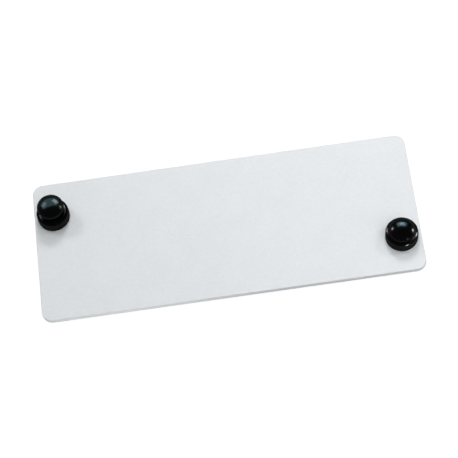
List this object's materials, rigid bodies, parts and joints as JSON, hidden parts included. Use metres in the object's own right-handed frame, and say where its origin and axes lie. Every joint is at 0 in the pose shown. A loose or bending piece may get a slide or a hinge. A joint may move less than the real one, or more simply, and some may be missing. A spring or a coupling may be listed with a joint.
{
  "type": "blank panel plate",
  "caption": "Flat rectangular sheet-metal blanking plate with rounded corners and push-pull plunger latches near opposite corners.",
  "frame": {"origin": "centre of the plate's back face, which seats on the shelf's front", "axes": "+X along the plate's length, +Y across its width, +Z out of its front face, where the latch heads stand"},
  "size_m": [0.13, 0.0512, 0.0186],
  "materials": {
    "plate_coat": "smooth light grey powder coat, low sheen",
    "grommet_nylon": "glossy moulded black nylon",
    "plunger_nylon": "glossy moulded black nylon"
  },
  "bodies": {
    "panel": {"panel_plate": "plate_coat", "left_grommet": "grommet_nylon", "right_grommet": "grommet_nylon"},
    "left_plunger": {"left_plunger": "plunger_nylon"},
    "right_plunger": {"right_plunger": "plunger_nylon"}
  },
  "joints": [
    {"name": "left_plunger_slide", "type": "slide", "parent": "panel", "child": "left_plunger", "axis": [0, 0, 1], "range_m": [-0.0026, 0]},
    {"name": "right_plunger_slide", "type": "slide", "parent": "panel", "child": "right_plunger", "axis": [0, 0, 1], "range_m": [0, 0.0026]}
  ]
}
